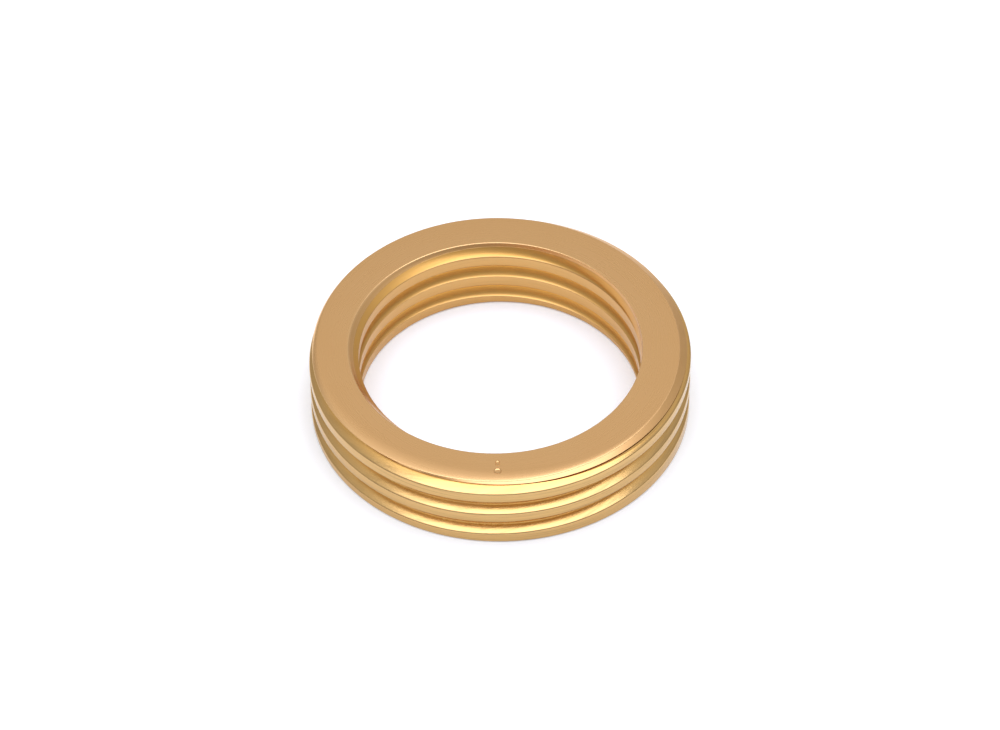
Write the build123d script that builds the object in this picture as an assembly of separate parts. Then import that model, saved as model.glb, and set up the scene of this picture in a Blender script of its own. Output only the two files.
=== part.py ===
from build123d import *

import math
import os

# Ring-type row counter: three ridged bands that turn on a ribbed finger sleeve.
# Millimetres. The ring stands on the plane z = 0, its axis is +Z, and the index mark
# faces -Y. Azimuths are counted from -Y towards +X.

# ---- overall ----
HEIGHT = 5.0
BORE_R = 9.1
CREST_R = 12.3

# ---- ridges on the outside ----
PITCH = 1.82
LAND = 0.67
GROOVE_DEPTH = 0.65
FLANK_RISE = 0.32
FIRST_CREST_Z = HEIGHT - 0.605
RIDGE_CANT = 1.2
ROOT_ROUND = 0.06
CUTTER_OVERRUN = 1.3

# ---- ribs in the bore, with undercut hollows between them ----
RIB_PITCH = 1.812
RIB_LAND = 0.752
HOLLOW_DEPTH = 0.42
HOLLOW_RISE = 0.63
HOLLOW_OPENING = 65
HOLLOW_CLOSING = 17
FIRST_RIB_Z = HEIGHT - 0.748
RIB_CANT = 1.6
BORE_CHAMFER = 0.12

# ---- running fits ----
SLEEVE_R = 10.4
RUNNING_FIT = 0.05
BAND_GAP = 0.04
FLOOR_GAP = 0.04

# ---- index plate ----
PLATE_T = 0.25
PLATE_GAP = 0.05
RIM_FOOT = (12.02, 0.05, 0.24)  # radius and centre of each circle of the plate
RIM_TOP = (11.84, -0.25, 0.23)
HOLE_FOOT = (9.36, -0.153, 0.164)
HOLE_TOP = (9.48, -0.3, 0.21)
MOUTH_BEND = (9.267, -0.126, 0.09)
MOUTH_BEND_RISE = 0.2
MARK_DEPTH = 0.05
MARK_X = -0.2
DOT_R = 0.25
DOT_Y = -10.8
TICK_WIDTH = 0.26
TICK_LENGTH = 0.46
TICK_Y = -10.12
DOWEL_R = 0.2
DOWEL_LENGTH = 0.9
DOWEL_COVER = 0.1
DOWEL_COUNT = 3
DOWEL_CIRCLE_R = 10.02
FIRST_DOWEL = 60

# ---- detents ----
STOPS = 10
BALL_R = 0.38
RACE_R = 0.4
RACE_DEPTH = 0.12
DIMPLE_DEPTH = 0.06
POCKET_R = 0.4
POCKET_END_R = 11.75
SPRING_WIRE_R = 0.045
SPRING_MEAN_R = 0.285
SPRING_TURNS = 4

# ---- spacers and collar ----
SPACER_T = 0.12
SPACER_R = 11.1
SPACER_SPLIT = 0.6
SIDE_CLEARANCE = 0.05
THRUST_T = 0.1
COLLAR_R = 11.1
COLLAR_H = 0.25
END_PLAY = 0.02

# ---- worked out ----
BAND_BORE_R = SLEEVE_R + RUNNING_FIT
ROOT_R = CREST_R - GROOVE_DEPTH
PLATE_Z = HEIGHT - PLATE_T
DOWEL_IN_PLATE = PLATE_T - DOWEL_COVER
CANT_RISE = CREST_R * math.tan(math.radians(RIDGE_CANT))
RECESS_R = SPACER_R + SIDE_CLEARANCE
BALL_CIRCLE_R = SLEEVE_R - RACE_DEPTH + RACE_R
BALL_AZIMUTH = 90
GAP_AZIMUTH = 180
BAND_NAMES = ("upper", "middle", "lower")


def tube(outer, inner, low, high):
    """A straight ring between two heights."""
    ring = Cylinder(outer, high - low, align=(Align.CENTER, Align.CENTER, Align.MIN))
    hole = Cylinder(inner, 2 * (high - low))
    return Pos(0, 0, low) * (ring - hole)


def at_azimuth(azimuth):
    """Turn a piece made on +X round the ring to an azimuth."""
    return Rot(0, 0, azimuth - 90)


def groove_cutter():
    """A canted V ring that cuts one groove outside.

    Its lower lip is at z = 0, its rounded root is a flank's rise higher and its upper lip
    is a land below the next lip.
    """
    depth = CUTTER_OVERRUN * GROOVE_DEPTH
    drop = PITCH - LAND - FLANK_RISE
    section = Polyline(
        (ROOT_R + depth, 0, FLANK_RISE - CUTTER_OVERRUN * FLANK_RISE),
        (ROOT_R, 0, FLANK_RISE),
        (ROOT_R + depth, 0, FLANK_RISE + CUTTER_OVERRUN * drop),
        close=True,
    )
    face = make_face(section)
    root = face.vertices().sort_by(Axis.X)[0]
    rounded = face.faces()[0].fillet_2d(ROOT_ROUND, [root])
    return revolve(rounded, Axis.Z).rotate(Axis.Y, -RIDGE_CANT)


def hollow_cutter():
    """A canted ring that cuts one hollow of the bore above a rib whose edge is at z = 0.

    The hollow curves up from a ledge that faces the mouth to its deepest line, and is
    undercut from there to the rib above.
    """
    opening = math.radians(HOLLOW_OPENING)
    closing = math.radians(HOLLOW_CLOSING)
    turn = math.sin(opening - closing)
    ledge = (HOLLOW_DEPTH * math.cos(closing) - HOLLOW_RISE * math.sin(closing)) / turn
    run, rise = ledge * math.sin(opening), ledge * math.cos(opening)
    lip = (BORE_R, 0, 0)
    bend = (BORE_R + run, 0, rise)
    deepest = (BORE_R + HOLLOW_DEPTH, 0, HOLLOW_RISE)
    inside = CUTTER_OVERRUN * HOLLOW_DEPTH
    undercut = RIB_PITCH - RIB_LAND - HOLLOW_RISE
    upper = (BORE_R + HOLLOW_DEPTH - inside, 0, HOLLOW_RISE + CUTTER_OVERRUN * undercut)
    lower = (BORE_R - run / 2, 0, -rise / 2)
    outline = Line(lower, lip) + Bezier(lip, bend, deepest) + Polyline(deepest, upper, lower)
    return revolve(make_face(outline), Axis.Z).rotate(Axis.Y, RIB_CANT)


def crest_z(index):
    """Upper edge of a band's ridge at azimuth 0."""
    return FIRST_CREST_Z - index * PITCH


def parting_z(index):
    """Plane between band `index` and the one above it, clear of the upward flanks."""
    return crest_z(index) + FLANK_RISE + CANT_RISE


def band_span(index):
    """Lowest and highest z of a band."""
    top = PLATE_Z - PLATE_GAP if index == 0 else parting_z(index) - BAND_GAP / 2
    is_last = index == len(BAND_NAMES) - 1
    low = FLOOR_GAP if is_last else parting_z(index + 1) + BAND_GAP / 2
    return low, top


def pocket_z(index):
    """Height of a band's detent ball."""
    low, top = band_span(index)
    seat = low + (COLLAR_H if index == len(BAND_NAMES) - 1 else SPACER_T)
    return (seat + top) / 2


def sleeve():
    """The finger sleeve: ribbed bore, plain outside with a dimpled race for each band."""
    body = tube(SLEEVE_R, BORE_R, 0, PLATE_Z)
    body -= Pos(0, 0, -BORE_CHAMFER) * Cone(
        BORE_R + 2 * BORE_CHAMFER, BORE_R, 2 * BORE_CHAMFER,
        align=(Align.CENTER, Align.CENTER, Align.MIN))
    cutter = hollow_cutter()
    for rib in range(1, len(BAND_NAMES)):
        body -= Pos(0, 0, FIRST_RIB_Z - rib * RIB_PITCH) * cutter
    body -= mouth_cutter()
    dimple_r = SLEEVE_R - RACE_DEPTH - DIMPLE_DEPTH + RACE_R
    for index in range(len(BAND_NAMES)):
        level = pocket_z(index)
        body -= Pos(0, 0, level) * Torus(BALL_CIRCLE_R, RACE_R)
        for stop in range(STOPS):
            azimuth = BALL_AZIMUTH + stop * 360 / STOPS
            body -= at_azimuth(azimuth) * Pos(dimple_r, 0, level) * Sphere(RACE_R)
    for hole in dowel_places():
        body -= hole * Cylinder(DOWEL_R, 2 * (DOWEL_LENGTH - DOWEL_IN_PLATE))
    return body


def mouth_cutter():
    """The flared mouth: from the canted edge of the top rib to the hole of the index plate."""
    cant = Rot(0, RIB_CANT, 0)
    edge = Pos(0, 0, FIRST_RIB_Z) * cant * make_face(Edge.make_circle(BORE_R))
    radius, x, y = MOUTH_BEND
    bend = Pos(x, y, FIRST_RIB_Z + MOUTH_BEND_RISE) * cant * make_face(Edge.make_circle(radius))
    return loft([edge, bend, circle_face(HOLE_FOOT, PLATE_Z)], ruled=True)


def dowel_places():
    """The dowels' places on the seat of the index plate."""
    step = 360 / DOWEL_COUNT
    azimuths = [FIRST_DOWEL + step * i for i in range(DOWEL_COUNT)]
    return [at_azimuth(azimuth) * Pos(DOWEL_CIRCLE_R, 0, PLATE_Z) for azimuth in azimuths]


def circle_face(circle, z):
    """A level disc from a radius and a centre."""
    radius, x, y = circle
    return Pos(x, y, z) * make_face(Edge.make_circle(radius))


def index_plate():
    """The flat top plate, a little off centre, with a dot and a tick for the index."""
    outside = loft([circle_face(RIM_FOOT, PLATE_Z), circle_face(RIM_TOP, HEIGHT)])
    inside = loft([circle_face(HOLE_FOOT, PLATE_Z), circle_face(HOLE_TOP, HEIGHT)])
    plate = outside - inside
    for hole in dowel_places():
        plate -= hole * Cylinder(DOWEL_R, 2 * DOWEL_IN_PLATE)
    dot = Pos(MARK_X, DOT_Y, HEIGHT) * Cylinder(DOT_R, 2 * MARK_DEPTH)
    tick = Pos(MARK_X, TICK_Y, HEIGHT) * Box(TICK_WIDTH, TICK_LENGTH, 2 * MARK_DEPTH)
    return plate - dot - tick


def plate_dowels():
    """Headless pins in blind holes that hold the index plate on the sleeve."""
    pin = Cylinder(DOWEL_R, DOWEL_LENGTH, align=(Align.CENTER, Align.CENTER, Align.MAX))
    return [place * Pos(0, 0, DOWEL_IN_PLATE) * pin for place in dowel_places()]


def band(index):
    """One counting band: a canted ridge outside, a plain bore, and a ball pocket."""
    low, top = band_span(index)
    ring = tube(CREST_R, BAND_BORE_R, low, top)
    cutter = groove_cutter()
    for crest in {index, min(index + 1, len(BAND_NAMES) - 1)}:
        ring -= Pos(0, 0, crest_z(crest)) * cutter
    if index < len(BAND_NAMES) - 1:
        ring -= tube(RECESS_R, BAND_BORE_R - 1, low - 1, low + SPACER_T)
    else:
        ring -= tube(RECESS_R, BAND_BORE_R - 1, low - 1, COLLAR_H + END_PLAY)
    if index == 0:
        ring -= tube(RECESS_R, BAND_BORE_R - 1, top - THRUST_T, top + 1)
    length = POCKET_END_R - BAND_BORE_R + 0.5
    drill = Rot(0, 90, 0) * Cylinder(POCKET_R, length, align=(Align.CENTER, Align.CENTER, Align.MAX))
    ring -= at_azimuth(BALL_AZIMUTH) * Pos(POCKET_END_R, 0, pocket_z(index)) * drill
    return ring


def detent_ball(index):
    """The ball that rides in the sleeve's race."""
    return at_azimuth(BALL_AZIMUTH) * Pos(BALL_CIRCLE_R, 0, pocket_z(index)) * Sphere(BALL_R)


def detent_spring(index):
    """The coil spring behind the ball."""
    slack = 0.005
    reach = math.sqrt((BALL_R + SPRING_WIRE_R + slack) ** 2 - SPRING_MEAN_R ** 2)
    start = BALL_CIRCLE_R + reach
    length = POCKET_END_R - SPRING_WIRE_R - slack - start
    path = Helix(length / SPRING_TURNS, length, SPRING_MEAN_R)
    section = Plane(origin=path @ 0, z_dir=path % 0) * Circle(SPRING_WIRE_R)
    coil = sweep(section, path, is_frenet=True)
    return at_azimuth(BALL_AZIMUTH) * Pos(start, 0, pocket_z(index)) * Rot(0, 90, 0) * coil


def split_ring(inner, outer, low, thickness):
    """A flat ring with a gap at the back, so that it springs onto the sleeve."""
    middle = Pos((inner + outer) / 2, 0, low)
    gap = at_azimuth(GAP_AZIMUTH) * middle * Box(2 * (outer - inner), SPACER_SPLIT, 1)
    return tube(outer, inner, low, low + thickness) - gap


def build():
    """Every node of the counter by name."""
    nodes = {
        "sleeve": sleeve(),
        "index_plate": index_plate(),
        "plate_dowels": Compound(children=plate_dowels()),
        "retaining_collar": tube(COLLAR_R, SLEEVE_R, 0, COLLAR_H),
        "thrust_washer": tube(SPACER_R, SLEEVE_R, PLATE_Z - THRUST_T, PLATE_Z),
    }
    for index, name in enumerate(BAND_NAMES):
        nodes[f"{name}_band"] = band(index)
        nodes[f"{name}_detent_ball"] = detent_ball(index)
        nodes[f"{name}_detent_spring"] = detent_spring(index)
        if index > 0:
            low = band_span(index)[1] + END_PLAY
            nodes[f"{name}_spacer"] = split_ring(SLEEVE_R, SPACER_R, low, SPACER_T)
    return nodes


os.makedirs("parts", exist_ok=True)
for node_name, shape in build().items():
    export_step(shape, f"parts/{node_name}.step")
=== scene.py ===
"""Looks of the ring-type row counter: turned brass bands on a ribbed finger sleeve."""

import logging
import math
from dataclasses import dataclass, field
from enum import Enum
from typing import Callable, Sequence

import bmesh
import bpy
import numpy as np
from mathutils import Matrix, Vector


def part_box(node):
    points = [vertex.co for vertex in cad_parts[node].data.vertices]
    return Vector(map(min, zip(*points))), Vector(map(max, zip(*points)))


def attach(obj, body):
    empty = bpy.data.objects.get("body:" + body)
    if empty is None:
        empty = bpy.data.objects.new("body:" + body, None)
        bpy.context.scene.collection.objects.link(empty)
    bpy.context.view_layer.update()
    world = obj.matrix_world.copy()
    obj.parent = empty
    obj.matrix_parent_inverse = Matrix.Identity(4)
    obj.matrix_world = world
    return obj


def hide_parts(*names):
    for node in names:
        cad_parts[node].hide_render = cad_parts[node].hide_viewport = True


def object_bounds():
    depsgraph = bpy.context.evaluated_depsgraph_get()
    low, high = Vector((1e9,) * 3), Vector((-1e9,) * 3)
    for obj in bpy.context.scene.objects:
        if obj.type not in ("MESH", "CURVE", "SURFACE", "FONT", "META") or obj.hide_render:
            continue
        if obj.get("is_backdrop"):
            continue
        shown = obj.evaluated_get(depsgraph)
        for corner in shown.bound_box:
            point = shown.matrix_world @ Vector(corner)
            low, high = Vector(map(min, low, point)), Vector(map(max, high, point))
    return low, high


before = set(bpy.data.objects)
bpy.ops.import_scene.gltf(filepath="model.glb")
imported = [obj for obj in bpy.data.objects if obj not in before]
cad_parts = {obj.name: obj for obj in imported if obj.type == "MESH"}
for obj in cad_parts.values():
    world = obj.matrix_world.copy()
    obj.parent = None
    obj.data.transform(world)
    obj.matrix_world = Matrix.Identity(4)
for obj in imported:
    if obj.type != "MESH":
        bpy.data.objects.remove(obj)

LOG = logging.getLogger("row_counter")
MM = 0.001
AROUND = 480
COLLAR_RECESS = 0.23
SPACER_RECESS = 0.12
WASHER_RECESS = 0.1


class Level(Enum):
    """The three counting bands, from the top."""

    UPPER = "upper"
    MIDDLE = "middle"
    LOWER = "lower"


class Turning(Enum):
    """How the lines of a turned or lapped surface run, as weights of radius and height."""

    ROUND_THE_RING = (0.8, 1.3)
    LAPPED_FLAT = (0.35, 0.0)


# ---- sections and lathe meshes


@dataclass(frozen=True)
class Corner:
    """One corner of a cross-section.

    Args:
        r: distance from the ring's axis, in millimetres.
        z: height, in millimetres.
        soft: radius that the corner is rounded to, or 0 for a plain point of a curve.
        wear_and_highlight: how bright its edge is rubbed, partly a painted highlight, from 0 to 1.
        painted_shade: how much painted shade its root holds, a tint towards the finish's shade
            colour, from 0 to 1.
    """

    r: float
    z: float
    soft: float = 0.03
    wear_and_highlight: float = 0.0
    painted_shade: float = 0.0


class Section:
    """A closed cross-section with rounded corners, always with the same number of points."""

    STEPS = 5
    MOST_CUT = 0.45
    SHORTEST = 1e-9

    def __init__(self, corners: Sequence[Corner]) -> None:
        """Keep the corners, in order round the section."""
        self.corners = list(corners)

    def points(self) -> np.ndarray:
        """Round every corner.

        Returns:
            One row for each point: radius, height, rubbing with painted highlight, and painted
                shade.
        """
        rows: list[tuple[float, float, float, float]] = []
        count = len(self.corners)
        for i, corner in enumerate(self.corners):
            rows += self._arc(self.corners[i - 1], corner, self.corners[(i + 1) % count])
        return np.array(rows)

    def _arc(self, before: Corner, corner: Corner, after: Corner) -> list[tuple]:
        """Points of one rounded corner.

        Args:
            before: the corner it comes from.
            corner: the corner itself.
            after: the corner it goes to.

        Returns:
            The arc's points, from `before` to `after`.
        """
        if corner.soft == 0:
            return [(corner.r, corner.z, corner.wear_and_highlight, corner.painted_shade)]
        here = np.array((corner.r, corner.z))
        back = np.array((before.r, before.z)) - here
        ahead = np.array((after.r, after.z)) - here
        back_length = max(float(np.hypot(*back)), self.SHORTEST)
        ahead_length = max(float(np.hypot(*ahead)), self.SHORTEST)
        cut = min(corner.soft, self.MOST_CUT * back_length, self.MOST_CUT * ahead_length)
        start = here + back * cut / back_length
        end = here + ahead * cut / ahead_length
        rows = []
        for step in range(self.STEPS):
            t = step / (self.STEPS - 1)
            point = (1 - t) ** 2 * start + 2 * t * (1 - t) * here + t ** 2 * end
            rows.append((point[0], point[1], corner.wear_and_highlight, corner.painted_shade))
        return rows


def lathe(
    name: str, section_at: Callable[[float], Section], around: int = AROUND
) -> bpy.types.Object:
    """Sweep a section round the ring, where it may change with the azimuth.

    Args:
        name: the piece's name.
        section_at: the section at an azimuth in radians, counted from -Y towards +X.
        around: steps in a full turn.

    Returns:
        A closed mesh, in metres, with the rubbing and painted highlight, and the painted shade,
        stored on its points.
    """
    rings = []
    for step in range(around):
        azimuth = 2 * math.pi * step / around
        rows = section_at(azimuth).points()
        ring = np.empty((len(rows), 5))
        ring[:, 0] = rows[:, 0] * math.sin(azimuth)
        ring[:, 1] = -rows[:, 0] * math.cos(azimuth)
        ring[:, 2:] = rows[:, 1:]
        rings.append(ring)
    return grid_piece(name, np.stack(rings))


def grid_piece(name: str, grid: np.ndarray) -> bpy.types.Object:
    """Make a ring-shaped mesh from a grid that closes both ways.

    Args:
        name: the piece's name.
        grid: turn by section by (x, y, z, rubbing and painted highlight, painted shade), the first
            three in millimetres.

    Returns:
        The new object.
    """
    turns, rows = grid.shape[:2]
    index = np.arange(turns * rows).reshape(turns, rows)
    onward = np.roll(index, -1, axis=0)
    faces = np.stack(
        (index, np.roll(index, -1, axis=1), np.roll(onward, -1, axis=1), onward), axis=-1
    ).reshape(-1, 4)
    flat = grid.reshape(-1, 5)
    mesh = bpy.data.meshes.new(name)
    mesh.from_pydata((flat[:, :3] * MM).tolist(), [], faces.tolist())
    # Column 3: rubbing with a painted highlight; column 4: painted shade.
    for column, attribute in ((3, "wear_and_highlight"), (4, "painted_shade")):
        values = mesh.attributes.new(attribute, "FLOAT", "POINT")
        values.data.foreach_set("value", flat[:, column].astype(np.float32))
    obj = linked_object(name, mesh)
    tidy_mesh(obj)
    return obj


def linked_object(name: str, data: bpy.types.ID) -> bpy.types.Object:
    """Make an object from its data and put it in the scene."""
    obj = bpy.data.objects.new(name, data)
    bpy.context.scene.collection.objects.link(obj)
    return obj


def mesh_from(work: bmesh.types.BMesh, name: str) -> bpy.types.Mesh:
    """Turn a bmesh into a mesh and free it."""
    mesh = bpy.data.meshes.new(name)
    work.to_mesh(mesh)
    work.free()
    return mesh


def evaluated_mesh(obj: bpy.types.Object) -> bpy.types.Mesh:
    """The mesh of an object with its modifiers or bevel applied."""
    bpy.context.view_layer.update()
    graph = bpy.context.evaluated_depsgraph_get()
    return bpy.data.meshes.new_from_object(obj.evaluated_get(graph))


def skin(work: bmesh.types.BMesh, loops: Sequence[Sequence[bmesh.types.BMVert]]) -> None:
    """Join loops of points into a tube and close its two ends."""
    for near, far in zip(loops, loops[1:]):
        for k in range(len(near)):
            after = (k + 1) % len(near)
            work.faces.new((near[k], near[after], far[after], far[k]))
    work.faces.new(list(reversed(loops[0])))
    work.faces.new(loops[-1])


def tidy_mesh(obj: bpy.types.Object, weld: float = 1e-7) -> None:
    """Weld coincident points, drop empty faces, face the mesh outwards and shade it smooth.

    Args:
        obj: the piece to tidy.
        weld: how close two points are to be one, in metres.
    """
    work = bmesh.new()
    work.from_mesh(obj.data)
    bmesh.ops.remove_doubles(work, verts=work.verts, dist=weld)
    bmesh.ops.dissolve_degenerate(work, edges=work.edges, dist=weld)
    bmesh.ops.recalc_face_normals(work, faces=work.faces)
    work.to_mesh(obj.data)
    work.free()
    obj.data.shade_smooth()


# ---- shader node groups


class NodeSheet:
    """A small helper that places and links shader nodes."""

    def __init__(self, tree: bpy.types.NodeTree) -> None:
        """Work on one node tree."""
        self.tree = tree

    def add(self, kind: str, values: dict | None = None, **settings) -> bpy.types.Node:
        """Add a node.

        Args:
            kind: the node's type name.
            values: input values by socket name or number.
            settings: the node's own settings.

        Returns:
            The new node.
        """
        node = self.tree.nodes.new(kind)
        for key, value in settings.items():
            setattr(node, key, value)
        for key, value in (values or {}).items():
            node.inputs[key].default_value = value
        return node

    def link(self, source: bpy.types.NodeSocket, target: bpy.types.NodeSocket) -> None:
        """Join two sockets."""
        self.tree.links.new(source, target)

    def maths(self, operation: str, *terms) -> bpy.types.NodeSocket:
        """A Math node.

        Args:
            operation: its operation.
            terms: sockets or numbers, in order.

        Returns:
            Its output socket.
        """
        node = self.add("ShaderNodeMath", operation=operation)
        for slot_number, term in enumerate(terms):
            if isinstance(term, (int, float)):
                node.inputs[slot_number].default_value = term
            else:
                self.link(term, node.inputs[slot_number])
        return node.outputs[0]


class EffectGroup:
    """A shader node group with named inputs and outputs, built once."""

    NAME = "effect"
    INPUTS: tuple[tuple[str, float], ...] = ()
    OUTPUTS: tuple[str, ...] = ("Mask",)

    def tree(self) -> bpy.types.NodeTree:
        """The group's node tree, made the first time it is asked for."""
        ready = bpy.data.node_groups.get(self.NAME)
        if ready is not None:
            return ready
        tree = bpy.data.node_groups.new(self.NAME, "ShaderNodeTree")
        for name, value in self.INPUTS:
            socket = tree.interface.new_socket(name, in_out="INPUT", socket_type="NodeSocketFloat")
            socket.default_value = value
        for name in self.OUTPUTS:
            tree.interface.new_socket(name, in_out="OUTPUT", socket_type="NodeSocketFloat")
        sheet = NodeSheet(tree)
        start = sheet.add("NodeGroupInput")
        end = sheet.add("NodeGroupOutput")
        self.fill(sheet, start, end)
        return tree

    def fill(self, sheet: NodeSheet, start: bpy.types.Node, end: bpy.types.Node) -> None:
        """Lay the group's nodes between its input and its output."""
        raise NotImplementedError

    def place(self, sheet: NodeSheet, **values: float) -> bpy.types.Node:
        """Put the group into a material.

        Args:
            sheet: the material's nodes.
            values: the group's input values, with words joined by underscores.

        Returns:
            The group node.
        """
        node = sheet.add("ShaderNodeGroup", node_tree=self.tree())
        for key, value in values.items():
            node.inputs[key.replace("_", " ").title()].default_value = value
        return node


def object_millimetres(sheet: NodeSheet) -> bpy.types.NodeSocket:
    """Object coordinates in millimetres."""
    coordinates = sheet.add("ShaderNodeTexCoord")
    scale = sheet.add("ShaderNodeVectorMath", {"Scale": 1 / MM}, operation="SCALE")
    sheet.link(coordinates.outputs["Object"], scale.inputs[0])
    return scale.outputs[0]


def mix_colours(sheet: NodeSheet, factor, first, second) -> bpy.types.NodeSocket:
    """Mix two colours, each a socket or three numbers."""
    node = sheet.add("ShaderNodeMix", data_type="RGBA")
    sheet.link(factor, node.inputs["Factor"])
    for number, colour in ((6, first), (7, second)):
        if isinstance(colour, tuple):
            node.inputs[number].default_value = (*colour, 1)
        else:
            sheet.link(colour, node.inputs[number])
    return node.outputs[2]


class TurningLines(EffectGroup):
    """Fine lines left by the lathe: thin across the surface, long round the ring."""

    NAME = "turning lines"
    INPUTS = (("Radius Weight", 0.8), ("Height Weight", 1.3), ("Density", 9.0), ("Drift", 0.15))
    OUTPUTS = ("Height", "Mask")

    def fill(self, sheet: NodeSheet, start: bpy.types.Node, end: bpy.types.Node) -> None:
        """Stretch noise along the circles of equal radius and height."""
        parts = sheet.add("ShaderNodeSeparateXYZ")
        sheet.link(object_millimetres(sheet), parts.inputs[0])
        squares = [sheet.maths("MULTIPLY", parts.outputs[a], parts.outputs[a]) for a in "XY"]
        across = sheet.maths("SQRT", sheet.maths("ADD", *squares))
        level = sheet.maths(
            "ADD",
            sheet.maths("MULTIPLY", across, start.outputs["Radius Weight"]),
            sheet.maths("MULTIPLY", parts.outputs["Z"], start.outputs["Height Weight"]),
        )
        place = sheet.add("ShaderNodeCombineXYZ")
        drift = start.outputs["Drift"]
        sheet.link(sheet.maths("MULTIPLY", parts.outputs["X"], drift), place.inputs["X"])
        sheet.link(sheet.maths("MULTIPLY", parts.outputs["Y"], drift), place.inputs["Y"])
        sheet.link(sheet.maths("MULTIPLY", level, start.outputs["Density"]), place.inputs["Z"])
        noise = sheet.add("ShaderNodeTexNoise", {"Scale": 1.0, "Detail": 4.0, "Roughness": 0.65})
        sheet.link(place.outputs[0], noise.inputs["Vector"])
        sheet.link(noise.outputs["Fac"], end.inputs["Height"])
        streaks = sheet.add("ShaderNodeMapRange", {"From Min": 0.5, "From Max": 0.68})
        sheet.link(noise.outputs["Fac"], streaks.inputs["Value"])
        sheet.link(streaks.outputs["Result"], end.inputs["Mask"])


class SatinCloud(EffectGroup):
    """Soft patches and a fine tooth, as on brass that has been lapped and handled."""

    NAME = "satin cloud"
    INPUTS = (("Patch Size", 2.0), ("Tooth", 26.0))
    OUTPUTS = ("Patches", "Grain")

    def fill(self, sheet: NodeSheet, start: bpy.types.Node, end: bpy.types.Node) -> None:
        """Add a slow and a fast noise."""
        place = object_millimetres(sheet)
        slow = sheet.add("ShaderNodeTexNoise", {"Detail": 3.0, "Roughness": 0.5})
        fast = sheet.add("ShaderNodeTexNoise", {"Detail": 2.0, "Roughness": 0.6})
        sheet.link(sheet.maths("DIVIDE", 1.0, start.outputs["Patch Size"]), slow.inputs["Scale"])
        sheet.link(start.outputs["Tooth"], fast.inputs["Scale"])
        for noise, output in ((slow, "Patches"), (fast, "Grain")):
            sheet.link(place, noise.inputs["Vector"])
            sheet.link(noise.outputs["Fac"], end.inputs[output])


class RubbedEdgesAndShade(EffectGroup):
    """Edges rubbed bright, partly a painted highlight, and roots given painted shade, from what
    the mesh stores on its points.
    """

    NAME = "edge wear"
    INPUTS = (("Unevenness", 0.5),)
    OUTPUTS = ("Wear_And_Highlight", "Painted_Shade")

    def fill(self, sheet: NodeSheet, start: bpy.types.Node, end: bpy.types.Node) -> None:
        """Break the stored values up with noise."""
        noise = sheet.add("ShaderNodeTexNoise", {"Scale": 1.3, "Detail": 4.0})
        sheet.link(object_millimetres(sheet), noise.inputs["Vector"])
        gaps = sheet.maths("MULTIPLY", noise.outputs["Fac"], start.outputs["Unevenness"])
        broken = sheet.maths("SUBTRACT", 1.0, gaps)
        for stored, output in (("wear_and_highlight", "Wear_And_Highlight"), ("painted_shade", "Painted_Shade")):
            attribute = sheet.add("ShaderNodeAttribute", attribute_name=stored)
            amount = sheet.maths("MULTIPLY", attribute.outputs["Fac"], broken)
            sheet.link(amount, end.inputs[output])


# ---- finishes


class Finish:
    """A metal finish, built once and shared by its pieces."""

    slot: str

    def material(self) -> bpy.types.Material:
        """Build the material, or return it if it is there already."""
        name = f"{self.slot}_finish"
        ready = bpy.data.materials.get(name)
        if ready is not None:
            return ready
        material = bpy.data.materials.new(name)
        material.use_nodes = True
        shader = material.node_tree.nodes["Principled BSDF"]
        shader.inputs["Metallic"].default_value = 1.0
        self.fill(NodeSheet(material.node_tree), shader)
        return material

    def fill(self, sheet: NodeSheet, shader: bpy.types.Node) -> None:
        """Lay the nodes that feed the shader."""
        raise NotImplementedError


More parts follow.
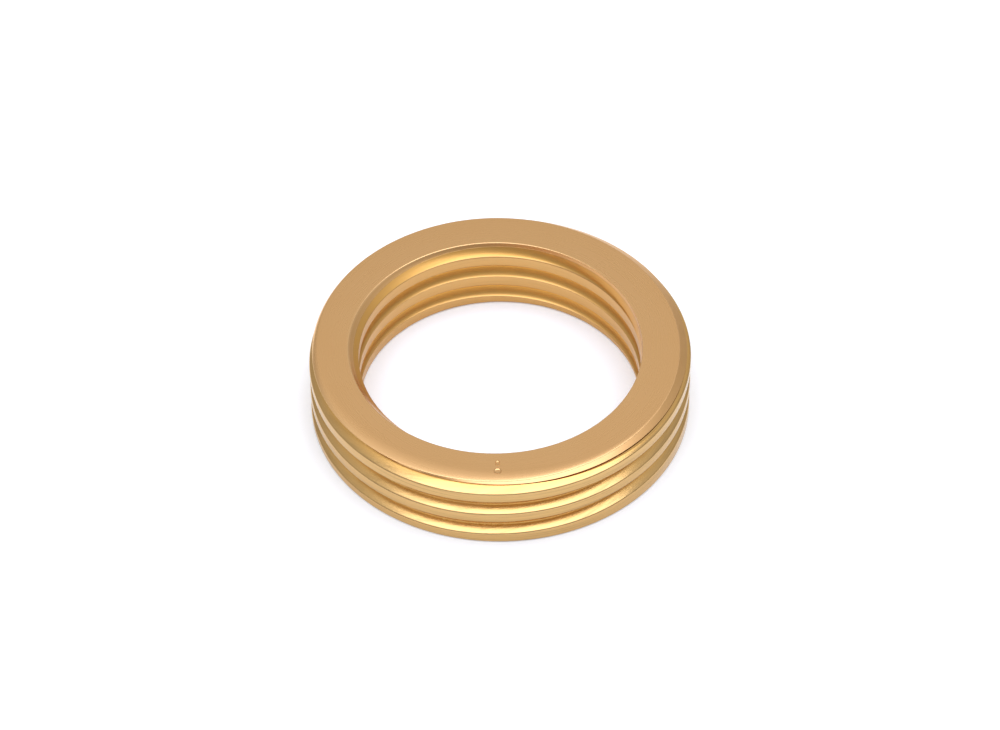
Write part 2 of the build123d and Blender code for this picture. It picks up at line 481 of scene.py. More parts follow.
@dataclass(frozen=True)
class BrassFinish(Finish):
    """Turned or lapped brass.

    Args:
        slot: the record's material slot that it is the finish of.
        base: its colour.
        worn_highlight: the colour of its rubbed edges, lighter, which also paints a highlight on
            them.
        painted_shade_colour: the colour of the painted shade in its roots and creases.
        roughness: how rough it is between the lines.
        lines: how the tool lines run.
        density: tool lines to the millimetre, roughly.
        line_depth: strength of the lines' bump.
        line_shade: how far the lines darken the colour.
    """

    slot: str
    base: tuple[float, float, float]
    worn_highlight: tuple[float, float, float]
    painted_shade_colour: tuple[float, float, float]
    roughness: float = 0.2
    lines: Turning = Turning.ROUND_THE_RING
    density: float = 9.0
    line_depth: float = 0.15
    line_shade: float = 0.12

    DEEPER = (0.97, 0.92, 0.84)
    PATCH_SHARE = 0.5
    LINE_ROUGHNESS = 0.06
    GRAIN_ROUGHNESS = 0.05
    PAINTED_SHADE_ROUGHNESS = 0.15
    WEAR_HIGHLIGHT_ROUGHNESS = -0.06
    GRAIN_BUMP = 0.2
    BUMP_DISTANCE = 0.02 * MM

    def fill(self, sheet: NodeSheet, shader: bpy.types.Node) -> None:
        """Lay the tool lines, the satin, the rubbed edges with their painted highlight and the
        painted shade.
        """
        radius_weight, height_weight = self.lines.value
        turned = TurningLines().place(
            sheet, radius_weight=radius_weight, height_weight=height_weight, density=self.density
        )
        satin = SatinCloud().place(sheet)
        edges = RubbedEdgesAndShade().place(sheet)
        colour = self._colour(sheet, turned, satin, edges)
        sheet.link(colour, shader.inputs["Base Color"])
        sheet.link(self._roughness(sheet, turned, satin, edges), shader.inputs["Roughness"])
        self._bump(sheet, turned, satin, shader)

    def _colour(self, sheet: NodeSheet, turned, satin, edges) -> bpy.types.NodeSocket:
        """Base colour, shaded by the lines and patches, then given painted shade and rubbed edges
        with a painted highlight.
        """
        shade = tuple(c * (1 - self.line_shade) for c in self.base)
        lined = mix_colours(sheet, turned.outputs["Mask"], self.base, shade)
        deeper = tuple(c * f for c, f in zip(self.base, self.DEEPER))
        patch = sheet.maths("MULTIPLY", satin.outputs["Patches"], self.PATCH_SHARE)
        clouded = mix_colours(sheet, patch, lined, deeper)
        # Painted shade: roots, creases and the plate's wall are tinted towards the shade colour.
        painted_shade_colour = mix_colours(sheet, edges.outputs["Painted_Shade"], clouded, self.painted_shade_colour)
        # Rubbed edges are lightened, partly a painted highlight.
        return mix_colours(sheet, edges.outputs["Wear_And_Highlight"], painted_shade_colour, self.worn_highlight)

    def _roughness(self, sheet: NodeSheet, turned, satin, edges) -> bpy.types.NodeSocket:
        """Roughness, higher in the lines and roots and lower on rubbed edges."""
        rough = self.roughness
        for source, share in (
            (turned.outputs["Mask"], self.LINE_ROUGHNESS),
            (satin.outputs["Grain"], self.GRAIN_ROUGHNESS),
            (edges.outputs["Painted_Shade"], self.PAINTED_SHADE_ROUGHNESS),
            (edges.outputs["Wear_And_Highlight"], self.WEAR_HIGHLIGHT_ROUGHNESS),
        ):
            rough = sheet.maths("MULTIPLY_ADD", source, share, rough)
        return rough

    def _bump(self, sheet: NodeSheet, turned, satin, shader) -> None:
        """Tool lines and tooth as bump."""
        height = sheet.maths(
            "MULTIPLY_ADD", satin.outputs["Grain"], self.GRAIN_BUMP, turned.outputs["Height"]
        )
        bump = sheet.add(
            "ShaderNodeBump", {"Strength": self.line_depth, "Distance": self.BUMP_DISTANCE}
        )
        sheet.link(height, bump.inputs["Height"])
        sheet.link(bump.outputs["Normal"], shader.inputs["Normal"])


@dataclass(frozen=True)
class SteelFinish(Finish):
    """Ground or drawn steel, for balls, pins and wire."""

    slot: str
    base: tuple[float, float, float] = (0.55, 0.55, 0.56)
    roughness: float = 0.22

    DARKER = 0.8
    GRAIN_ROUGHNESS = 0.12

    def fill(self, sheet: NodeSheet, shader: bpy.types.Node) -> None:
        """Lay the patches and the fine tooth."""
        satin = SatinCloud().place(sheet, patch_size=0.3, tooth=60.0)
        darker = tuple(c * self.DARKER for c in self.base)
        colour = mix_colours(sheet, satin.outputs["Patches"], self.base, darker)
        sheet.link(colour, shader.inputs["Base Color"])
        rough = sheet.maths(
            "MULTIPLY_ADD", satin.outputs["Grain"], self.GRAIN_ROUGHNESS, self.roughness
        )
        sheet.link(rough, shader.inputs["Roughness"])


# The lighter edge colours below also paint highlights on the edges; the shade colours are painted
# shade, warmer orange in the bands' and sleeve's roots and darker brown under the plate.
BAND_BRASS = BrassFinish(
    "band_brass",
    base=(0.6, 0.375, 0.143),
    worn_highlight=(0.72, 0.47, 0.22),
    painted_shade_colour=(0.92, 0.5, 0.13),
    roughness=0.15,
    density=11.0,
    line_depth=0.4,
    line_shade=0.45,
)
PLATE_BRASS = BrassFinish(
    "plate_brass",
    base=(0.77, 0.455, 0.2),
    worn_highlight=(0.86, 0.56, 0.28),
    painted_shade_colour=(0.56, 0.32, 0.12),
    roughness=0.25,
    lines=Turning.LAPPED_FLAT,
    density=7.0,
    line_depth=0.12,
    line_shade=0.05,
)
SLEEVE_BRASS = BrassFinish(
    "sleeve_brass",
    base=(0.61, 0.35, 0.12),
    worn_highlight=(0.72, 0.46, 0.2),
    painted_shade_colour=(0.88, 0.46, 0.08),
    roughness=0.3,
    line_depth=0.15,
    line_shade=0.12,
)
SPACER_BRASS = BrassFinish(
    "spacer_brass",
    base=(0.8, 0.5, 0.23),
    worn_highlight=(0.86, 0.6, 0.32),
    painted_shade_colour=(0.6, 0.32, 0.1),
    roughness=0.3,
)
PIN_STEEL = SteelFinish("pin_steel")
SPRING_STEEL = SteelFinish("spring_steel", base=(0.4, 0.4, 0.41), roughness=0.3)


# ---- the ring's sub-assemblies


@dataclass
class Lands:
    """Flat lands one above another, in millimetres.

    Args:
        land_r: radius of the lands.
        first_z: upper edge of the top land at azimuth 0.
        pitch: distance from one land to the next.
        land: height of a land.
        lean: how far the lands rise at +X.
    """

    land_r: float
    first_z: float
    pitch: float
    land: float
    lean: float

    def top_of_land(self, index: int, azimuth: float) -> float:
        """Upper edge of land `index` at an azimuth."""
        return self.first_z - index * self.pitch + self.lean * math.sin(azimuth)

    def foot_of_land(self, index: int, azimuth: float) -> float:
        """Lower edge of land `index` at an azimuth."""
        return self.top_of_land(index, azimuth) - self.land


@dataclass
class Ridge(Lands):
    """The V groove pattern on the outside of the bands.

    Args:
        root_r: radius of the groove roots.
        rise: how far a root lies above the upper edge of the land below it.
    """

    root_r: float
    rise: float

    def root(self, index: int, azimuth: float) -> float:
        """Height of the groove root above land `index`."""
        return self.top_of_land(index, azimuth) + self.rise

    def underside_r(self, index: int, azimuth: float, z: float) -> float:
        """Radius at height z of the underside that hangs over land `index`."""
        drop = self.pitch - self.land - self.rise
        share = (z - self.root(index, azimuth)) / drop
        return self.root_r + min(max(share, 0.0), 1.0) * (self.land_r - self.root_r)

    def flank_r(self, index: int, azimuth: float, z: float) -> float:
        """Radius at height z of the upward flank above land `index`."""
        share = (z - self.top_of_land(index, azimuth)) / self.rise
        return self.land_r + min(max(share, 0.0), 1.0) * (self.root_r - self.land_r)


@dataclass(frozen=True)
class Circle:
    """A level circle: radius and centre, in millimetres."""

    radius: float
    x: float
    y: float

    def reach(self, azimuth: float) -> float:
        """Distance from the ring's axis to the circle, along an azimuth."""
        along = (math.sin(azimuth), -math.cos(azimuth))
        middle = self.x * along[0] + self.y * along[1]
        square = self.x ** 2 + self.y ** 2
        return middle + math.sqrt(self.radius ** 2 - square + middle ** 2)


@dataclass
class Ribs(Lands):
    """The lands of the bore and the undercut hollows between them.

    Args:
        depth: depth of a hollow.
        rise: height of its deepest line above the land below.
        opening: how far its surface faces upwards where it meets the land, in degrees.
        closing: how far its surface faces upwards at the deepest line, in degrees.
        steps: points along one hollow.
    """

    depth: float = 0.42
    rise: float = 0.63
    opening: float = 65.0
    closing: float = 17.0
    steps: int = 12

    ROOT_SOFT = 0.08
    ROOT_PAINTED_SHADE = 0.8
    PAINTED_SHADE_FADE = (0.7, 0.1)

    def hollow(self, index: int, azimuth: float) -> list[Corner]:
        """The hollow above land `index`, from its deepest line down, without the land's edge.

        Args:
            index: the land below it.
            azimuth: where round the ring.

        Returns:
            The deepest line as a rounded corner, then plain points of the curve.
        """
        edge = (self.land_r, self.top_of_land(index, azimuth))
        deepest = (self.land_r + self.depth, edge[1] + self.rise)
        line = swept_curve(edge, deepest, self.opening, self.closing, self.steps)[::-1]
        # Painted shade is strongest at the deepest line and fades down the hollow.
        first = Corner(*line[0], self.ROOT_SOFT, 0, self.ROOT_PAINTED_SHADE)
        share = np.linspace(*self.PAINTED_SHADE_FADE, len(line))
        return [first] + [Corner(*line[k], 0, 0, share[k]) for k in range(1, len(line) - 1)]


def swept_curve(
    start: Sequence[float], end: Sequence[float], opening: float, closing: float, steps: int
) -> np.ndarray:
    """A smooth curve between two points of a cross-section, by how far its ends face upwards.

    Args:
        start: radius and height of the lower end.
        end: radius and height of the upper end.
        opening: how far the surface faces upwards at the start, in degrees.
        closing: how far the surface faces upwards at the end, in degrees.
        steps: number of points.

    Returns:
        Rows of radius and height.
    """
    low, high = np.array(start), np.array(end)
    first, last = math.radians(opening), math.radians(closing)
    sides = np.array(((math.sin(first), math.sin(last)), (math.cos(first), math.cos(last))))
    reach = np.linalg.solve(sides, high - low)
    bend = low + sides[:, 0] * max(float(reach[0]), 0.0)
    t = np.linspace(0, 1, steps)[:, None]
    return (1 - t) ** 2 * low + 2 * t * (1 - t) * bend + t ** 2 * high


@dataclass
class Mouth:
    """The flared mouth of the bore, which the sleeve and the index plate share.

    Args:
        ribs: the bore below it.
        rim: the circle at its top.
        rim_z: height of the rim, in millimetres.
        ease: how far the line straightens up towards the rim, from 0 to 1.
        least_bend: share of its bend that is left on the left side.
        painted_shade: how much painted shade its surface holds.
        steps: points along its line.
    """

    ribs: Ribs
    rim: Circle
    rim_z: float
    ease: float = 0.5
    least_bend: float = 0.15
    painted_shade: float = 0.4
    steps: int = 24

    def curve(self, azimuth: float) -> np.ndarray:
        """The mouth's line at an azimuth, from the top land's edge up to the rim.

        It is nearly straight on the left, where the mouth is widest.

        Args:
            azimuth: where round the ring.

        Returns:
            Rows of radius and height.
        """
        start = (self.ribs.land_r, self.ribs.top_of_land(0, azimuth))
        end = (self.rim.reach(azimuth), self.rim_z)
        chord = math.degrees(math.atan2(end[0] - start[0], end[1] - start[1]))
        bend = max(1 - max(-math.sin(azimuth), 0.0) ** 2, self.least_bend)
        opening = chord + (self.ribs.opening - chord) * bend
        return swept_curve(start, end, opening, chord - self.ease * chord * bend, self.steps)

    def radius(self, azimuth: float, z: float) -> float:
        """Radius of the mouth at height z."""
        line = self.curve(azimuth)
        return float(np.interp(z, line[:, 1], line[:, 0]))

    def stretch(self, azimuth: float, low: float, high: float, count: int) -> list[Corner]:
        """Plain points of the mouth from height `high` down to `low`, with both ends left out."""
        heights = np.linspace(high, low, count + 2)[1:-1]
        # The mouth's points carry painted shade.
        return [Corner(self.radius(azimuth, z), float(z), 0, 0, self.painted_shade) for z in heights]


@dataclass
class CountingBand:
    """One band that turns: a land and its upward flank outside, a plain bore inside.

    Args:
        level: which of the three it is.
        outside: the groove pattern that it is a part of.
        bore_r: radius of its bore, in millimetres, as below.
        recess_r: radius of the recesses for the spacers, the washer and the collar.
        recess_below: depth of the recess in its foot.
        recess_above: depth of the recess in its top.
        reach: how far its top stays inside the true surfaces.
        edge: rounding of the land's edges.
    """

    level: Level
    outside: Ridge
    bore_r: float = 10.45
    recess_r: float = 11.15
    recess_below: float = 0.12
    recess_above: float = 0.0
    reach: float = 0.003
    edge: float = 0.075
    low: float = field(init=False)
    high: float = field(init=False)

    FOOT_CUT = 0.05
    TIGHT = 0.02
    BORE_SOFT = 0.04
    ROOT_SOFT = 0.1

    def __post_init__(self) -> None:
        """Read the band's height from its CAD node."""
        corner_low, corner_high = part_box(f"{self.level.value}_band")
        self.low = corner_low.z / MM
        self.high = corner_high.z / MM

    @property
    def index(self) -> int:
        """Place in the stack, 0 at the top."""
        return list(Level).index(self.level)

    def section(self, azimuth: float) -> Section:
        """The band's cross-section at an azimuth."""
        ridge = self.outside
        i = self.index
        land_r = ridge.land_r
        if self.level is Level.LOWER:
            foot = [
                Corner(land_r - self.FOOT_CUT, self.low),
                Corner(land_r, self.low + self.FOOT_CUT, self.BORE_SOFT, 0.2),
            ]
        else:
            underside_r = ridge.underside_r(i + 1, azimuth, self.low)
            foot = [
                # Painted shade on the underside's corner, under the ridge.
                Corner(underside_r, self.low, self.TIGHT, 0, 0.6),
                Corner(land_r, ridge.foot_of_land(i, azimuth), self.edge, 0.1),
            ]
        root_z = min(ridge.root(i, azimuth), self.high - self.reach)
        root_r = ridge.flank_r(i, azimuth, root_z)
        lip_r = max(ridge.underside_r(i, azimuth, self.high), root_r) - self.reach
        recess_top = self.high - self.recess_above
        # The land's upper edge is lightened with a painted highlight; the root and lip carry
        # painted shade.
        corners = foot + [
            Corner(land_r, ridge.top_of_land(i, azimuth), self.edge, 0.35),
            Corner(root_r, root_z, self.ROOT_SOFT, 0, 0.7),
            Corner(lip_r, self.high, self.TIGHT, 0, 0.3),
            Corner(self.recess_r, self.high, self.TIGHT),
            Corner(self.recess_r, recess_top - self.reach, self.TIGHT),
            Corner(self.bore_r, recess_top - self.reach, self.BORE_SOFT),
            Corner(self.bore_r, self.low + self.recess_below, self.BORE_SOFT),
            Corner(self.recess_r, self.low + self.recess_below, self.TIGHT),
            Corner(self.recess_r, self.low, self.TIGHT),
        ]
        return Section(corners)

    def build(self) -> bpy.types.Object:
        """Build and dress the band."""
        name = f"{self.level.value}_band"
        obj = lathe(f"{name}_turned", self.section)
        obj.data.materials.append(BAND_BRASS.material())
        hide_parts(name)
        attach(obj, name)
        return obj


@dataclass
class FingerSleeve:
    """The fixed sleeve: ribbed bore, ball races outside.

    Args:
        ribs: its bore.
        mouth: the flare above the bore.
        outer_r: its outer radius, in millimetres, as below.
        race_depth: depth of a race between its dimples.
        race_half: half the race's width at the surface.
        race_rise: how far the race has risen at its shoulders.
        race_shoulder: height of a shoulder from the middle of the race.
        chamfer: chamfer at the foot of the bore.
        dimple_depth: how much deeper a dimple is than its race.
        dimple_half: half a dimple's length.
        stops: dimples in a full turn.
        rib_edge: rounding of the lands' edges.
        races: heights of the races, read from the balls.
    """

    ribs: Ribs
    mouth: Mouth
    outer_r: float = 10.4
    race_depth: float = 0.12
    race_half: float = 0.286
    race_rise: float = 0.029
    race_shoulder: float = 0.15
    chamfer: float = 0.12
    dimple_depth: float = 0.06
    dimple_half: float = 0.3
    stops: int = 10
    rib_edge: float = 0.05
    races: tuple[float, ...] = ()

    RIM_SOFT = 0.012
    FOOT_SOFT = 0.05
    MOUTH_POINTS = 8

    def __post_init__(self) -> None:
        """Put a race at the height of each ball."""
        balls = [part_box(f"{level.value}_detent_ball") for level in Level]
        self.races = tuple((low.z + high.z) / 2 / MM for low, high in balls)
        self.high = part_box("sleeve")[1].z / MM

    def race_floor(self, azimuth: float) -> float:
        """Radius of a race's floor, with its dimples counted from +X."""
        step = 2 * math.pi / self.stops
        off = (azimuth - math.pi / 2 + step / 2) % step - step / 2
        share = min(abs(off) * self.outer_r / self.dimple_half, 1.0)
        dip = self.dimple_depth * (0.5 + 0.5 * math.cos(math.pi * share))
        return self.outer_r - self.race_depth - dip

    def section(self, azimuth: float) -> Section:
        """The sleeve's cross-section at an azimuth."""
        ribs = self.ribs
        corners = [Corner(self.outer_r, 0.0)]
        floor = self.race_floor(azimuth)
        for level in sorted(self.races):
            corners += [
                Corner(self.outer_r, level - self.race_half),
                Corner(floor + self.race_rise, level - self.race_shoulder),
                Corner(floor, level),
                Corner(floor + self.race_rise, level + self.race_shoulder),
                Corner(self.outer_r, level + self.race_half),
            ]
        corners.append(Corner(self.outer_r, self.high))
        corners.append(Corner(self.mouth.radius(azimuth, self.high), self.high, self.RIM_SOFT))
        first_top = ribs.top_of_land(0, azimuth)
        corners += self.mouth.stretch(azimuth, first_top, self.high, self.MOUTH_POINTS)
        last = len(Level) - 1
        for index in range(last + 1):
            top, foot = ribs.top_of_land(index, azimuth), ribs.foot_of_land(index, azimuth)
            # Land edges are lightened with a painted highlight; the hollows carry painted shade.
            corners.append(Corner(ribs.land_r, top, self.rib_edge, 0.4))
            if index < last:
                corners.append(Corner(ribs.land_r, foot, self.rib_edge, 0.05))
                corners += ribs.hollow(index + 1, azimuth)
        corners += [
            Corner(ribs.land_r, self.chamfer, self.FOOT_SOFT, 0.1),
            Corner(ribs.land_r + self.chamfer, 0.0, self.FOOT_SOFT),
        ]
        return Section(corners)

    def build(self) -> bpy.types.Object:
        """Build and dress the sleeve."""
        obj = lathe("sleeve_turned", self.section)
        obj.data.materials.append(SLEEVE_BRASS.material())
        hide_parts("sleeve")
        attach(obj, "core")
        return obj


@dataclass(frozen=True)
class Roll:
    """How a rim is rolled off: how far in it starts and how far it drops, in millimetres."""

    width: float
    drop: float


@dataclass
class IndexPlate:
    """The flat top plate, a little off centre, with an engraved dot and tick.

    Args:
        mouth: the flare of the bore.
        outer_foot: the outline of its underside.
        outer_top: the outline of its top.
        front: how the rim is rolled off in front.
        left: how it is rolled off on the left.
        elsewhere: how it is rolled off elsewhere.
        roll_turn: how far the front's shape is turned to the left, in radians.
        roll_fade: how fast the front's shape fades to the sides.
        roll_power: how the roll steepens towards the rim.
        roll_steps: points along the roll.
        wall_painted_shade: patina of the outer wall.
        right_painted_shade: what is added to it on the right.
        undercut: how far the foot is cut back in front, in millimetres.
        undercut_rise: height of that cut.
        mark_x: how far the mark sits to the right.
        dot_r: radius of the dot.
        dot_at: distance of the dot from the ring's axis.
        tick_from: distance of the tick's inner end.
        tick_to: the same for its outer end.
        tick_half: half the tick's width.
        depth: depth of the mark.
    """

    mouth: Mouth
    outer_foot: Circle = Circle(12.02, 0.05, 0.24)
    outer_top: Circle = Circle(11.84, -0.25, 0.23)
    front: Roll = Roll(1.05, 0.1)
    left: Roll = Roll(0.24, 0.2)
    elsewhere: Roll = Roll(0.06, 0.012)
    roll_turn: float = 0.4
    roll_fade: float = 1.7
    roll_power: float = 2.4
    roll_steps: int = 12
    # wall_painted_shade: painted shade on the outer wall, all round.
    wall_painted_shade: float = 0.15
    # right_painted_shade: painted shade added to it on the right side.
    right_painted_shade: float = 0.65
    undercut: float = 0.1
    undercut_rise: float = 0.05
    mark_x: float = -0.2
    dot_r: float = 0.25
    dot_at: float = 10.8
    tick_from: float = 10.02
    tick_to: float = 10.22
    tick_half: float = 0.13
    depth: float = 0.05

    TIGHT = 0.02
    STEP = 0.01
    HOLE_BAND = 0.1
    HOLE_SOFT = 0.045
    MOUTH_SOFT = 0.012
    MOUTH_START = 0.05
    MOUTH_POINTS = 3
    DOT_POINTS = 24
    TICK_POINTS = 8
    SHARP_ANGLE = math.radians(35)

    def __post_init__(self) -> None:
        """Read the plate's height from its CAD node."""
        corner_low, corner_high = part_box("index_plate")
        self.low = corner_low.z / MM
        self.high = corner_high.z / MM

    def section(self, azimuth: float) -> Section:
        """The plate's cross-section at an azimuth, with its top rolled off towards the rim."""
        rim = self.outer_top.reach(azimuth)
        front = self._front(azimuth)
        roll = self._roll(azimuth, front)
        foot = self.outer_foot.reach(azimuth)
        # Painted shade on the plate's outer wall, darker towards the right side.
        wall_shade_amount = self.wall_painted_shade + self.right_painted_shade * max(math.sin(azimuth), 0.0) ** 4
        corners = [
            # Painted shade in the undercut under the plate's foot.
            Corner(foot - front * self.undercut, self.low, self.TIGHT, 0, 0.8),
            Corner(foot, self.low + self.STEP + front * self.undercut_rise, self.STEP, 0, wall_shade_amount),
            Corner(rim + self.STEP, self.high - roll.drop - self.TIGHT, self.STEP / 2, 0, wall_shade_amount),
        ]
        for step in range(self.roll_steps):
            t = step / (self.roll_steps - 1)
            share = (1 - t) ** self.roll_power
            soft = self.TIGHT if step == 0 else 0
            z = self.high - roll.drop * share
            # The rolled rim is lightened towards its edge with a painted highlight.
            corners.append(Corner(rim - t * roll.width, z, soft, 0.5 * share))
        hole = self.mouth.radius(azimuth, self.high)
        corners += [
            # The hole's edge is lightened with a painted highlight.
            Corner(hole + self.HOLE_BAND, self.high, 0, 0.1),
            Corner(hole, self.high, self.HOLE_SOFT, 0.5),
        ]
        start = self.high - self.MOUTH_START
        corners += self.mouth.stretch(azimuth, self.low, start, self.MOUTH_POINTS)
        corners.append(Corner(self.mouth.radius(azimuth, self.low), self.low, self.MOUTH_SOFT))
        return Section(corners)

    def _front(self, azimuth: float) -> float:
        """How much of the front's shape the rim has at an azimuth, from 0 to 1."""
        return max(math.cos(azimuth + self.roll_turn), 0.0) ** self.roll_fade

    def _roll(self, azimuth: float, front: float) -> Roll:
        """How the rim is rolled off at an azimuth: wide in front, tight on the left."""
        left = max(-math.sin(azimuth), 0.0) ** 2 * (1 - front)
        rest = 1 - front - left
        parts = ((front, self.front), (left, self.left), (rest, self.elsewhere))
        return Roll(sum(w * r.width for w, r in parts), sum(w * r.drop for w, r in parts))

    def build(self) -> bpy.types.Object:
        """Build the plate and sink the index mark into it."""
        obj = lathe("index_plate_lapped", self.section)
        self._engrave(obj)
        obj.data.materials.append(PLATE_BRASS.material())
        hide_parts("index_plate")
        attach(obj, "core")
        return obj

    def _engrave(self, obj: bpy.types.Object) -> None:
        """Cut the dot and the tick with tools that flare at the surface."""
        outlines = [self._dot_outline(), self._tick_outline()]
        for number, outline in enumerate(outlines):
            tool = self._tool(f"mark_tool_{number}", outline)
            cut = obj.modifiers.new("mark", "BOOLEAN")
            cut.operation = "DIFFERENCE"
            cut.solver = "EXACT"
            cut.object = tool
            shaped = evaluated_mesh(obj)
            obj.modifiers.clear()
            obj.data = shaped
            bpy.data.objects.remove(tool)
        obj.data.set_sharp_from_angle(angle=self.SHARP_ANGLE)

    def _dot_outline(self) -> list[tuple[float, float]]:
        """Outline of the dot."""
        turn = [2 * math.pi * k / self.DOT_POINTS for k in range(self.DOT_POINTS)]
        return [
            (self.mark_x + self.dot_r * math.cos(a), -self.dot_at + self.dot_r * math.sin(a))
            for a in turn
        ]

    def _tick_outline(self) -> list[tuple[float, float]]:
        """Outline of the tick, round at both ends."""
        ends = ((self.tick_from, 0.0), (self.tick_to, math.pi))
        points = []
        for at, first in ends:
            for k in range(self.TICK_POINTS + 1):
                a = first + math.pi * k / self.TICK_POINTS
                across, along = self.tick_half * math.cos(a), self.tick_half * math.sin(a)
                points.append((self.mark_x + across, -at + along))
        return points

    def _tool(self, name: str, outline: list[tuple[float, float]]) -> bpy.types.Object:
        """A cutter whose floor is smaller than its mouth.

        Args:
            name: the cutter's name.
            outline: the mouth at the surface, in millimetres.

        Returns:
            A closed mesh that stands through the plate's top.
        """
        middle = Vector((sum(p[0] for p in outline), sum(p[1] for p in outline))) / len(outline)
        depth = self.depth
        rings = ((0.55, -depth), (0.8, -0.8 * depth), (1.0, -0.1 * depth), (1.1, 0.05))
        work = bmesh.new()
        loops = []
        for share, height in rings:
            loop = []
            for x, y in outline:
                spot = middle + (Vector((x, y)) - middle) * share
                loop.append(work.verts.new((spot.x * MM, spot.y * MM, (self.high + height) * MM)))
            loops.append(loop)
        skin(work, loops)
        bmesh.ops.recalc_face_normals(work, faces=work.faces)
        return linked_object(name, mesh_from(work, name))


@dataclass
class FlatRings:
    """The thrust washer, the split spacers and the collar, with softened corners.

    Args:
        split_half: half the gap of a split spacer, in millimetres.
        split_at_r: radius at which that gap is measured.
        inner_r: radius of the rings' bore.
        soft: rounding of their corners.
        steps: steps in a full turn.
    """

    split_half: float = 0.3
    split_at_r: float = 10.75
    inner_r: float = 10.4
    soft: float = 0.02
    steps: int = 240

    SHARP_ANGLE = math.radians(40)

    def build(self) -> list[bpy.types.Object]:
        """Build and dress every flat ring."""
        made = []
        for node in ("thrust_washer", "middle_spacer", "lower_spacer", "retaining_collar"):
            made.append(self._ring(node, is_split=node.endswith("spacer")))
        return made

    def _ring(self, node: str, is_split: bool) -> bpy.types.Object:
        """One flat ring.

        Args:
            node: the CAD node it stands for.
            is_split: whether it has a gap at the back.

        Returns:
            The new piece.
        """
        low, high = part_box(node)
        outer = high.x / MM
        inner, soft = self.inner_r, self.soft
        rows = Section([
            Corner(inner, low.z / MM, soft),
            # The outer edges are lightened with a painted highlight.
            Corner(outer, low.z / MM, soft, 0.3),
            Corner(outer, high.z / MM, soft, 0.3),
            Corner(inner, high.z / MM, soft),
        ])
        if is_split:
            obj = self._open_ring(f"{node}_sprung", rows)
        else:
            obj = lathe(f"{node}_turned", lambda azimuth: rows, around=self.steps)
        finish = SLEEVE_BRASS if node == "retaining_collar" else SPACER_BRASS
        obj.data.materials.append(finish.material())
        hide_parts(node)
        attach(obj, "core")
        return obj

    def _open_ring(self, name: str, rows: Section) -> bpy.types.Object:
        """A ring with a gap at the back and closed ends."""
        profile = rows.points()
        half_gap = self.split_half / self.split_at_r
        first = -math.pi + half_gap
        span = 2 * (math.pi - half_gap)
        work = bmesh.new()
        loops = []
        for step in range(self.steps + 1):
            azimuth = first + span * step / self.steps
            across, along = math.sin(azimuth) * MM, -math.cos(azimuth) * MM
            spots = [(r * across, r * along, z * MM) for r, z, _, _ in profile]
            loops.append([work.verts.new(spot) for spot in spots])
        skin(work, loops)
        obj = linked_object(name, mesh_from(work, name))
        tidy_mesh(obj)
        obj.data.set_sharp_from_angle(angle=self.SHARP_ANGLE)
        return obj


@dataclass
class Detents:
    """The balls, springs and dowels inside the ring.

    Args:
        wire_r: radius of the springs' wire, in millimetres.
        coil_r: radius of the coil, to the middle of the wire.
        turns: turns in a coil.
        steps: points in one turn.
    """

    wire_r: float = 0.045
    coil_r: float = 0.285
    turns: float = 4.0
    steps: int = 24

    def build(self) -> list[bpy.types.Object]:
        """Build and dress the inner pieces."""
        made = []
        for level in Level:
            made.append(self._ball(level))
            made.append(self._spring(level))
        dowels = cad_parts["plate_dowels"]
        dowels.data.materials.clear()
        dowels.data.materials.append(PIN_STEEL.material())
        return made

    def _ball(self, level: Level) -> bpy.types.Object:
        """A ground ball."""
        node = f"{level.value}_detent_ball"
        low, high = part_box(node)
        work = bmesh.new()
        bmesh.ops.create_icosphere(work, subdivisions=4, radius=(high.z - low.z) / 2)
        bmesh.ops.translate(work, verts=work.verts, vec=(low + high) / 2)
        mesh = mesh_from(work, node)
        mesh.shade_smooth()
        return self._dress(bpy.data.objects.new(f"{node}_ground", mesh), node, level, PIN_STEEL)

    def _spring(self, level: Level) -> bpy.types.Object:
        """A coil of round wire that points at the ring's axis."""
        node = f"{level.value}_detent_spring"
        low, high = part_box(node)
        middle = (low + high) / 2
        near = low.x + self.wire_r * MM
        length = high.x - low.x - 2 * self.wire_r * MM
        count = int(self.turns * self.steps)
        curve = bpy.data.curves.new(node, "CURVE")
        curve.dimensions = "3D"
        line = curve.splines.new("POLY")
        line.points.add(count)
        for k, point in enumerate(line.points):
            angle = 2 * math.pi * self.turns * k / count
            reach = self.coil_r * MM
            spot = (
                near + length * k / count,
                middle.y + reach * math.sin(angle),
                middle.z + reach * math.cos(angle),
            )
            point.co = (*spot, 1)
        curve.bevel_depth = self.wire_r * MM
        curve.bevel_resolution = 4
        curve.use_fill_caps = True
        source = linked_object(node, curve)
        mesh = evaluated_mesh(source)
        bpy.data.objects.remove(source)
        mesh.shade_smooth()
        return self._dress(bpy.data.objects.new(f"{node}_coil", mesh), node, level, SPRING_STEEL)

    @staticmethod
    def _dress(
        obj: bpy.types.Object, node: str, level: Level, finish: SteelFinish
    ) -> bpy.types.Object:
        """Link a piece, give it its finish and let it ride on its band."""
        bpy.context.scene.collection.objects.link(obj)
        obj.data.materials.clear()
        obj.data.materials.append(finish.material())
        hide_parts(node)
        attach(obj, f"{level.value}_band")
        return obj


# ---- studio


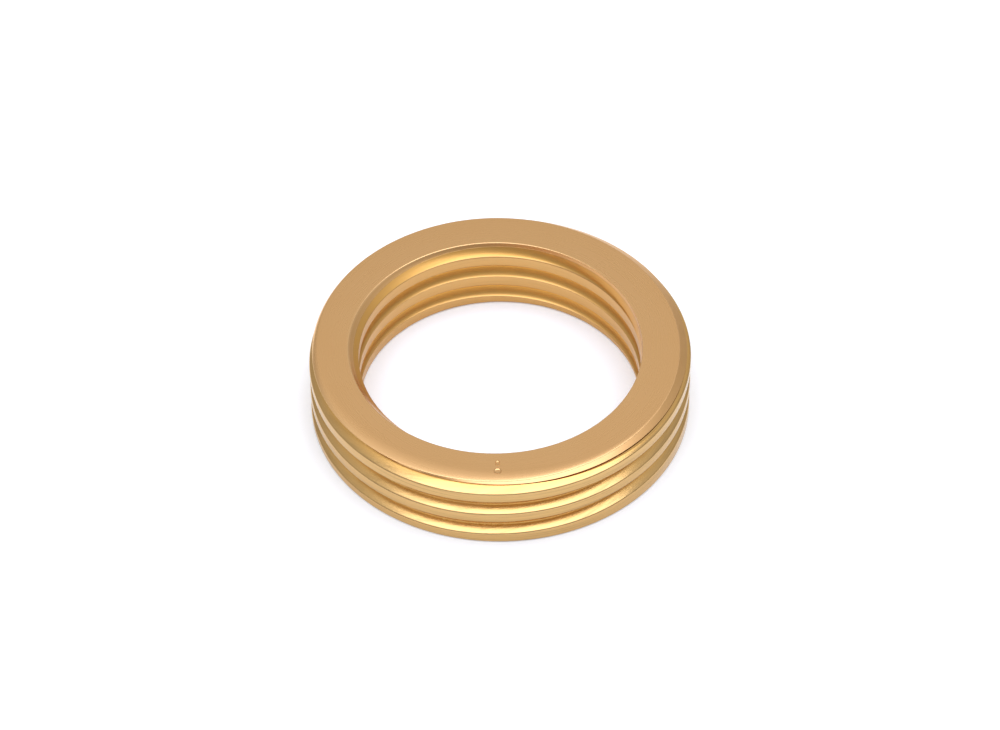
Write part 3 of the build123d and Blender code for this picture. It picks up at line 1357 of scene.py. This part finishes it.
@dataclass
class Studio:
    """Floor, light and camera.

    Args:
        elevation: how far the camera looks down, in degrees.
        distance: its distance from what it aims at, in metres.
        lens: its focal length, in millimetres.
        aim_x: where it aims, to the right.
        aim_z: where it aims, upwards.
        roll: how far it is rolled, in degrees.
        horizon: the room's brightness low down.
        zenith: its brightness overhead.
        glow: what is added low down at the back.
        glow_power: how fast that fades upwards.
        floor_colour: the floor's colour.
        floor_lift: how much the floor lights itself.
        box_size: the softbox's two sides, in metres.
        box_energy: its power, in watts.
        box_colour: its colour.
        box_at: where it hangs, in metres.
    """

    elevation: float = 45.8
    distance: float = 0.271
    lens: float = 151.0
    aim_x: float = 0.0
    aim_z: float = 0.0034
    roll: float = -0.45
    horizon: float = 0.42
    zenith: float = 1.03
    glow: float = 0.55
    glow_power: float = 4.0
    floor_colour: tuple[float, float, float] = (0.95, 0.965, 0.96)
    floor_lift: float = 0.11
    box_size: tuple[float, float] = (0.7, 0.46)
    box_energy: float = 2.1
    box_colour: tuple[float, float, float] = (0.9, 0.97, 1.2)
    box_at: tuple[float, float, float] = (0.02, -0.06, 0.55)

    def build(self) -> None:
        """Set the stage."""
        self._floor()
        self._world()
        self._softbox()
        self._camera()

    def _floor(self) -> None:
        """A wide pale floor."""
        work = bmesh.new()
        bmesh.ops.create_grid(work, x_segments=8, y_segments=8, size=3.0)
        mesh = mesh_from(work, "floor")
        floor = linked_object("floor", mesh)
        material = bpy.data.materials.new("pale_floor")
        material.use_nodes = True
        shader = material.node_tree.nodes["Principled BSDF"]
        shader.inputs["Base Color"].default_value = (*self.floor_colour, 1)
        shader.inputs["Roughness"].default_value = 0.9
        shader.inputs["Specular IOR Level"].default_value = 0.1
        shader.inputs["Emission Color"].default_value = (1, 1, 1, 1)
        shader.inputs["Emission Strength"].default_value = self.floor_lift
        mesh.materials.append(material)
        floor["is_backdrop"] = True

    def _world(self) -> None:
        """A pale room, brighter overhead and low down at the back."""
        world = bpy.data.worlds.new("room")
        world.use_nodes = True
        sheet = NodeSheet(world.node_tree)
        back = world.node_tree.nodes["Background"]
        back.inputs["Color"].default_value = (1, 1, 1, 1)
        coordinates = sheet.add("ShaderNodeTexCoord")
        parts = sheet.add("ShaderNodeSeparateXYZ")
        sheet.link(coordinates.outputs["Generated"], parts.inputs[0])
        height = sheet.maths("MAXIMUM", parts.outputs["Z"], 0.0)
        squared = sheet.maths("MULTIPLY", height, height)
        overhead = sheet.maths("MULTIPLY_ADD", squared, self.zenith - self.horizon, self.horizon)
        low = sheet.maths("POWER", sheet.maths("SUBTRACT", 1.0, height), self.glow_power)
        behind = sheet.maths("MULTIPLY", sheet.maths("MAXIMUM", parts.outputs["Y"], 0.0), low)
        strength = sheet.maths("MULTIPLY_ADD", behind, self.glow, overhead)
        sheet.link(strength, back.inputs["Strength"])
        bpy.context.scene.world = world
        bpy.context.scene.view_settings.view_transform = "Standard"

    def _softbox(self) -> None:
        """A broad softbox overhead, a little towards the camera."""
        light = bpy.data.lights.new("softbox", "AREA")
        light.shape = "RECTANGLE"
        light.size, light.size_y = self.box_size
        light.energy = self.box_energy
        light.color = self.box_colour
        lamp = linked_object("softbox", light)
        lamp.location = self.box_at
        lamp.rotation_euler = (-lamp.location).to_track_quat("-Z", "Y").to_euler()

    def _camera(self) -> None:
        """The camera in front of the index mark, looking down."""
        data = bpy.data.cameras.new("camera")
        data.lens = self.lens
        data.sensor_width = 36.0
        data.clip_start = 0.01
        camera = linked_object("camera", data)
        tilt = math.radians(self.elevation)
        aim = Vector((self.aim_x, 0, self.aim_z))
        camera.location = aim + self.distance * Vector((0, -math.cos(tilt), math.sin(tilt)))
        camera.rotation_euler = (aim - camera.location).to_track_quat("-Z", "Y").to_euler()
        camera.rotation_euler.rotate_axis("Z", math.radians(self.roll))
        bpy.context.scene.camera = camera


def main() -> None:
    """Build the ring's sub-assemblies in order, then the studio."""
    cad_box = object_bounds()
    outside = Ridge(
        land_r=12.3, root_r=11.65, first_z=4.395, pitch=1.82, land=0.67, rise=0.32, lean=0.2577
    )
    ribs = Ribs(land_r=9.1, first_z=4.252, pitch=1.812, land=0.752, lean=-0.2542)
    mouth = Mouth(ribs, Circle(9.48, -0.3, 0.21), cad_box[1].z / MM)
    pieces = [FingerSleeve(ribs, mouth).build(), IndexPlate(mouth).build()]
    for level in Level:
        below = COLLAR_RECESS if level is Level.LOWER else SPACER_RECESS
        above = WASHER_RECESS if level is Level.UPPER else 0.0
        pieces.append(CountingBand(level, outside, recess_below=below, recess_above=above).build())
    pieces += FlatRings().build()
    pieces += Detents().build()
    for piece in pieces:
        LOG.info("%s: %d faces", piece.name, len(piece.data.polygons))
    Studio().build()


if __name__ == "__main__":
    logging.basicConfig(level=logging.INFO, format="%(name)s: %(message)s")
    main()
